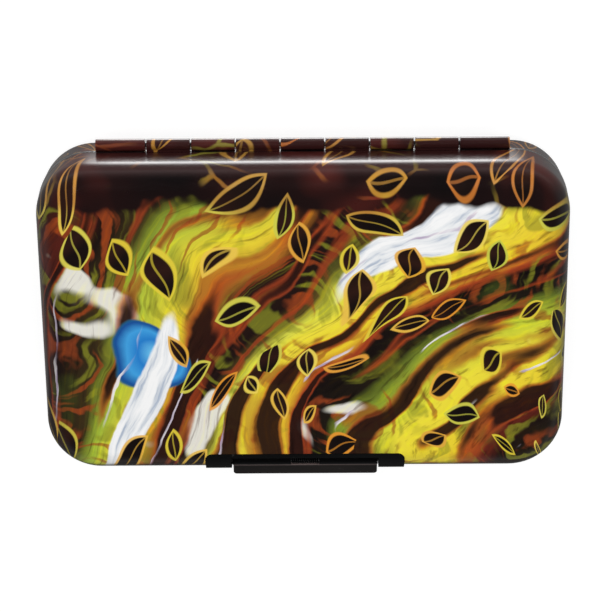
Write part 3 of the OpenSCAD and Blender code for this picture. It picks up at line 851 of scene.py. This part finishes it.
def hinge_leaf(name, first, flipped, finish):
    """The comb of knuckles of one leaf, on its leg, printed where it is rolled."""
    ends = [knuckle_ends(k) for k in range(first, KNUCKLES, 2)]
    places = [((low + high) / 2, AXIS_Y, AXIS_Z) for low, high in ends]
    spans = [(high - low, 1, 1) for low, high in ends]
    copy = knuckle_mesh(name + "_copy", finish)
    comb = grow(points(name + "_comb", places, spans), ROW, copy=copy, turn=(0, 0, 0), finish=finish)
    drop(copy)
    whole = join(name, comb, leaf_leg(name + "_leg"))
    mesh = whole.data
    co = np.zeros(len(mesh.vertices) * 3)
    mesh.vertices.foreach_get("co", co)
    co = co.reshape(-1, 3) / MM
    around = np.arctan2(AXIS_Z - co[:, 2], AXIS_Y - co[:, 1]) + math.pi / 2
    prints = np.stack([co[:, 0], RIM_RUN + 1 + BARREL_D / 2 * around], 1) * MM
    from_end = np.full(len(co), FAR_FROM_WEAR)
    for (x, _, _), (length, _, _) in zip(places, spans):
        inside = np.abs(co[:, 0] - x) <= length / 2 + 1e-3
        from_end[inside] = length / 2 - np.abs(co[inside, 0] - x)
    outward = np.hypot(co[:, 1] - AXIS_Y, co[:, 2] - AXIS_Z)
    rolls = (ROLL_OUTER, ROLL_OUTER - ROLL_CHAMFER, ROLL_INNER, ROLL_INNER + ROLL_CHAMFER / 2)
    rolled = np.min([np.abs(outward - r) for r in rolls], axis=0) < 0.005
    from_end[~rolled] = FAR_FROM_WEAR
    rims = np.stack([np.zeros(len(co)), (from_end + WEAR_MARGIN) * MM], 1)
    if flipped:
        co[:, 2] = SHUT_H - co[:, 2]
        mesh.vertices.foreach_set("co", (co * MM).ravel())
        mesh.flip_normals()
    set_map(mesh, "Print", prints)
    set_map(mesh, "Rim", rims)
    return smooth(whole)


fit(hinge_leaf("base_knuckles", 0, False, BASE_PRINT), "base", "print", "base_hinge_leaf")
fit(hinge_leaf("lid_knuckles", 1, True, LID_PRINT), "lid", "print", "lid_hinge_leaf")


# ---------- liners and foam ----------

fit(softened("base_liner", "base_tray", LINER, 0.10, clean=False), "base", "liner", "base_liner")
fit(softened("lid_liner", "lid_tray", LINER, 0.10, clean=False), "lid", "liner", "lid_liner")

PAD_IN, FOAM_LOW, FOAM_TOP, FOOT_IN = 4.4, 2.3, 8.3, 3.4
PAD_W, PAD_D, PAD_R = CASE_W - 2 * PAD_IN, CASE_D - 2 * PAD_IN, CORNER_R - PAD_IN
ROW_PITCH, ROWS, RIDGE_HALF = 7.4, 11, 2.4
SLIT_PITCH, SLIT_COUNT = 6.35, 22
SLIT_SIZES = {"slit_depth": 2.6, "slit_half_width": 0.13, "lip": 0.45, "lip_drop": 0.12,
              "channel_depth": 2.3, "channel_half_width": 0.50, "shoulder": 1.0}
EDGE_DROP = 0.35
WALL_BEND = 5.4       # height at which a pad's wall starts to draw in
UNSLIT = 9.0          # a distance at which no slit reaches
PAD_CUT_X, PAD_CUT_Y, PAD_CUT_DOWN = 35.75, -39.6, 9.0


def row_middle(row):
    return (row - (ROWS - 1) / 2) * ROW_PITCH


def pad_lines():
    """The pad's lines of points from front to back, close together at channels and edges."""
    half = PAD_D / 2
    lines = [side * (half - off) for side in (-1, 1) for off in (0, EDGE_DROP, 1.2, 2.4)]
    for row in range(ROWS):
        for off in (-3.7, -3.3, -3.0, -2.7, -2.3, -1.4, 0, 1.4, 2.3, 2.7, 3.0, 3.3):
            if abs(row_middle(row) + off) < half - 2 * EDGE_DROP:
                lines.append(row_middle(row) + off)
    return sorted(set(round(y, 4) for y in lines))


def pad_line(reach, row, lean):
    """One line of points as (x, distance from a slit, 1 at the pad's edge)."""
    fine = 0.2        # offsets under this lie in the slit itself and widen with it
    limit = reach - EDGE_DROP
    line = [(-reach, UNSLIT, 1), (-limit, UNSLIT, 0)]
    for k in range(SLIT_COUNT):
        shift, wide = lean[row, k]
        middle = (k - (SLIT_COUNT - 1) / 2) * SLIT_PITCH + shift
        for step in (-1.0, -0.45, -0.13, -0.05, 0.0, 0.05, 0.13, 0.45, 1.0, SLIT_PITCH / 2):
            x = middle + step * (wide if abs(step) < fine else 1)
            far = UNSLIT if abs(x) > reach - 2.2 else abs(step)
            line.append((max(-limit, min(limit, x)), far, 0))
    return line + [(limit, UNSLIT, 0), (reach, UNSLIT, 1)]


def pad(name, flipped, chance):
    """A die-cut pad: rows of foam parted by channels, each row slit across for the hooks."""
    lines = pad_lines()
    lean = {(r, k): (chance.uniform(-0.35, 0.35), chance.uniform(0.8, 1.9) if chance.random() < 0.3 else 1.0)
            for r in range(ROWS) for k in range(SLIT_COUNT)}
    channels = [(i - ROWS / 2) * ROW_PITCH for i in range(1, ROWS)]
    verts, slit, channel = [], [], []
    for y in lines:
        over = max(0.0, abs(y) - (PAD_D / 2 - PAD_R))
        reach = PAD_W / 2 - (PAD_R - math.sqrt(max(0.0, PAD_R ** 2 - over ** 2)))
        row = min(ROWS - 1, max(0, int(y / ROW_PITCH + ROWS / 2)))
        end = abs(y) > PAD_D / 2 - EDGE_DROP / 2
        on_ridge = abs(y - row_middle(row)) < RIDGE_HALF and abs(y) < PAD_D / 2 - 1.0
        for x, far, edge in pad_line(reach, row, lean):
            verts.append((x, y, FOAM_TOP - (EDGE_DROP if edge or end else 0)))
            slit.append(far if on_ridge else UNSLIT)
            channel.append(min(abs(y - c) for c in channels))
    n = len(verts) // len(lines)
    faces = [(r * n + k, r * n + k + 1, (r + 1) * n + k + 1, (r + 1) * n + k)
             for r in range(len(lines) - 1) for k in range(n - 1)]
    made = make_object(name, verts, faces, [FOAM])
    for label, values in (("slit", slit), ("channel", channel)):
        made.data.attributes.new(label, "FLOAT", "POINT").data.foreach_set("value", values)
    grow(made, SLITS, finish=FOAM, **SLIT_SIZES)
    built = bmesh.new()
    built.from_mesh(made.data)
    bmesh.ops.remove_doubles(built, verts=built.verts, dist=2e-6)
    bmesh.ops.dissolve_degenerate(built, dist=1e-6, edges=built.edges)
    for low, shrink in ((WALL_BEND, 0.0), (FOAM_LOW, FOOT_IN)):
        rim = [e for e in built.edges if e.is_boundary]
        wall = bmesh.ops.extrude_edge_only(built, edges=rim)["geom"]
        for v in (g for g in wall if isinstance(g, bmesh.types.BMVert)):
            v.co.x *= 1 - 2 * shrink / PAD_W
            v.co.y *= 1 - 2 * shrink / PAD_D
            v.co.z = low * MM
    bmesh.ops.holes_fill(built, edges=[e for e in built.edges if e.is_boundary], sides=0)
    if flipped:
        for v in built.verts:
            v.co.z = SHUT_H * MM - v.co.z
    bmesh.ops.recalc_face_normals(built, faces=built.faces)
    built.to_mesh(made.data)
    built.free()
    return made


random = np.random.default_rng(11)
base_pad = smooth(pad("base_pad", False, random), 60)
lid_pad = pad("lid_pad", True, random)
cut(lid_pad, block("pad_cut", (-PAD_CUT_X, -FRONT - PAST, SHUT_H - PAD_CUT_DOWN),
                   (PAD_CUT_X, PAD_CUT_Y, SHUT_H), FOAM))
smooth(lid_pad, 60)
fit(base_pad, "base", "foam", "base_foam")
fit(lid_pad, "lid", "foam", "lid_foam")


# ---------- latch and catch ----------

PIVOT_U, PIVOT_Z = 45.2, 25.0

fit(softened("latch_housing", "latch_case", HOUSING, 0.25), "lid", "housing", "latch_housing")
fit(softened("latch_lever", "thumb_lever", LEVER, 0.40), "lever", "lever", "latch_lever")
fit(softened("catch_plate", "catch", CATCH, 0.12), "base", "catch", "catch_plate")

# A rivet as (radius, height): its tail under the sheets, its shank and its domed head
RIVET_GRIP = 2.5
RIVET = [(0, -2.9), (1.05, -2.8), (1.2, -2.5), (0.8, -2.5), (0.8, 0), (1.5, 0), (1.5, 0.12),
         (1.36, 0.28), (1.0, 0.41), (0.5, 0.49), (0, 0.51)]


def rivets(name, half_apart, y, z, tilt, grip):
    """A pair of domed rivets square to the front wall; grip is what each one clamps."""
    shape = [(r, h + RIVET_GRIP - grip if h < 0 else h) for r, h in RIVET]
    copy = turned(name + "_copy", shape, ALUMINIUM)
    places = [(x, y, z) for x in (-half_apart, half_apart)]
    made = grow(points(name, places), ROW, copy=copy, turn=(math.pi / 2 + tilt, 0, 0), finish=ALUMINIUM)
    drop(copy)
    return smooth(made)


EAR_X, EAR_UP, EAR_GRIP = 31.75, 4.5, 2.5
CATCH_X, CATCH_Z, CATCH_T, CATCH_GRIP = 16.0, 9.0, 0.6, 1.6
fit(rivets("ear_rivets", EAR_X, -FRONT - wall_at(EAR_UP), HALF_H + PARTING + EAR_UP, -LEAN, EAR_GRIP),
    "lid", "rivet", "housing_rivets")
fit(rivets("plate_rivets", CATCH_X, -FRONT - wall_at(HALF_H - CATCH_Z) - CATCH_T, CATCH_Z, LEAN, CATCH_GRIP),
    "base", "rivet", "catch_rivets")

COIL_R, COIL_HALF, COIL_TURNS, WIRE_R = 1.1, 3.75, 12, 0.25
BACK_LEG, LEVER_LEG = 2.65, 4.5
WEB_SLOPE = math.atan2(-9.0, 5.3)


def spring_path():
    """Leg on the housing's back, close coil round the pin, leg on the lever's web."""
    stop = WEB_SLOPE + math.pi / 2 - 2 * math.pi * COIL_TURNS
    steps = int((math.pi / 2 - stop) / math.radians(15))
    path = [(-BACK_LEG, COIL_R, COIL_HALF)]
    for k in range(steps + 1):
        t = k / steps
        turn = math.pi / 2 + (stop - math.pi / 2) * t
        path.append((COIL_R * math.cos(turn), COIL_R * math.sin(turn), COIL_HALF - 2 * COIL_HALF * t))
    u, v, w = path[-1]
    path.append((u + LEVER_LEG * math.cos(WEB_SLOPE), v + LEVER_LEG * math.sin(WEB_SLOPE), w))
    return [(-w, -(PIVOT_U + u), PIVOT_Z + v) for u, v, w in path]


path = spring_path()
torsion = make_object("torsion_coil", path, [], [], edges=[(i, i + 1) for i in range(len(path) - 1)])
grow(torsion, WIRE, wire_radius=WIRE_R * MM, finish=SPRING)
smooth(torsion, 50)
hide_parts("latch_spring")
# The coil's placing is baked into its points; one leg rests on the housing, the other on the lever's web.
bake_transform(torsion)

KEPT = {"hinge_pin": STEEL, "base_foam_tape": TAPE, "lid_foam_tape": TAPE, "latch_pin": STEEL}
for node, finish in KEPT.items():
    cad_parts[node].data.materials.clear()
    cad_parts[node].data.materials.append(finish)


# ---------- floor, light and camera ----------

FLOOR_HALF = 3000


def stage_material():
    """Pale floor: white to the camera, with the object's shadow, a bright strip in reflections and a painted
    shadow before the case in reflections.
    """
    f = Finish("Studio floor")
    seen = f.add("ShaderNodeLightPath").node.outputs
    glossy = seen["Is Glossy Ray"]
    direct = f.math("MAXIMUM", seen["Is Camera Ray"], seen["Is Transmission Ray"])
    shown = f.math("MAXIMUM", f.times(direct, 0.70), f.times(glossy, 0.88))
    f.set(color=(0.95, 0.95, 0.95, 1), rough=0.9, specular=0.0)
    x, y, _ = f.apart(f.place())
    strip = f.times(f.step(y, 54.0, 60.0), f.step(y, 84.0, 64.0))
    strip = f.times(strip, f.step(f.size_of(x), 72.0, 52.0))
    change = f.minus(f.times(strip, 5.8), 1.03)
    # Painted shadow: in reflections the floor in front of the case loses its glow.
    change = f.minus(change, f.times(f.step(y, -40.0, -46.0), 0.13))
    strength = f.plus(f.times(change, glossy), 1.16)
    glow = f.add("ShaderNodeEmission", {"Color": (1, 1, 1, 1), "Strength": strength})
    both = f.add("ShaderNodeMixShader", {0: shown, 1: f.shader.outputs[0], 2: glow})
    f.tree.links.new(both, f.tree.nodes["Material Output"].inputs["Surface"])
    return f.material


corners = [(-FLOOR_HALF, -FLOOR_HALF, 0), (FLOOR_HALF, -FLOOR_HALF, 0),
           (FLOOR_HALF, FLOOR_HALF, 0), (-FLOOR_HALF, FLOOR_HALF, 0)]
floor = make_object("floor", corners, [(0, 1, 2, 3)], [stage_material()])

scene.view_settings.view_transform = "Standard"


def studio_world():
    """White to the camera; in reflections dim overhead, with a long window behind the hinge."""
    world = bpy.data.worlds.new("Studio")
    world.use_nodes = True
    tree = world.node_tree
    sky = tree.nodes["Background"]
    sky.inputs["Color"].default_value = (1, 1, 1, 1)

    def fade(value, low, high, to_low, to_high):
        return add_node(tree, "ShaderNodeMapRange", {
            "Value": value, "From Min": low, "From Max": high, "To Min": to_low, "To Max": to_high},
            interpolation_type="SMOOTHSTEP")

    def total(a, b, operation):
        return add_node(tree, "ShaderNodeMath", {0: a, 1: b}, operation=operation)

    seen = add_node(tree, "ShaderNodeLightPath").node.outputs
    way = add_node(tree, "ShaderNodeSeparateXYZ", {0: add_node(tree, "ShaderNodeTexCoord")}).node.outputs
    room = fade(way[2], 0.0, 0.8, 0.22, 0.03)
    window = total(fade(way[1], 0.30, 0.75, 0.0, 0.3), fade(way[2], 0.00, 0.40, 1.0, 0.0), "MULTIPLY")
    mirrored = total(room, window, "ADD")
    shiny = total(seen["Is Glossy Ray"], seen["Is Transmission Ray"], "MAXIMUM")
    level = add_node(tree, "ShaderNodeMix", {0: shiny, 2: 0.42, 3: mirrored})
    level = add_node(tree, "ShaderNodeMix", {0: seen["Is Camera Ray"], 2: level, 3: 1.0})
    tree.links.new(level, sky.inputs["Strength"])
    return world


scene.world = studio_world()


def soft_light(name, place, aim, size, power):
    """A wide lamp that lights the object but isn't mirrored in it."""
    data = bpy.data.lights.new(name, "AREA")
    data.shape = "RECTANGLE"
    data.size, data.size_y = size
    data.energy = power
    lamp = in_scene(name, data)
    lamp.location = place
    lamp.rotation_euler = (Vector(aim) - Vector(place)).to_track_quat("-Z", "Y").to_euler()
    lamp.visible_glossy = False


soft_light("Top light", (0.0, 0.35, 1.25), (0, 0, 0), (1.0, 0.8), 8.5)
soft_light("Hinge light", (0.0, 1.0, 0.30), (0, 0, 0.02), (1.3, 0.45), 5)

# The camera: its tilt, yaw and roll, its distance in millimetres, its focus and middle in pixels
PHOTO = 612
TILT, YAW, ROLL = math.radians(22.09), math.radians(0.43), math.radians(-0.52)
FAR, FOCUS, MID_X, MID_Y = 622.0, 2125.0, 303.9, 304.9
toward = Vector((math.sin(YAW) * math.cos(TILT), math.sin(TILT), math.cos(YAW) * math.cos(TILT)))
right = Vector((0, 1, 0)).cross(toward).normalized()
above = toward.cross(right)
right, above = (math.cos(ROLL) * right + math.sin(ROLL) * above,
                math.cos(ROLL) * above - math.sin(ROLL) * right)
lens = bpy.data.cameras.new("Camera")
lens.sensor_fit = "HORIZONTAL"
lens.sensor_width = 36
lens.lens = FOCUS / PHOTO * lens.sensor_width
lens.shift_x = (PHOTO / 2 - MID_X) / PHOTO
lens.shift_y = (MID_Y - PHOTO / 2) / PHOTO
lens.clip_start = 0.01
camera = in_scene("Camera", lens)
turn = Matrix((right, above, toward)).transposed().to_4x4()
camera.matrix_world = Matrix.Translation((Vector((0, 0, AXIS_Z)) + toward * FAR) * MM) @ turn
scene.camera = camera
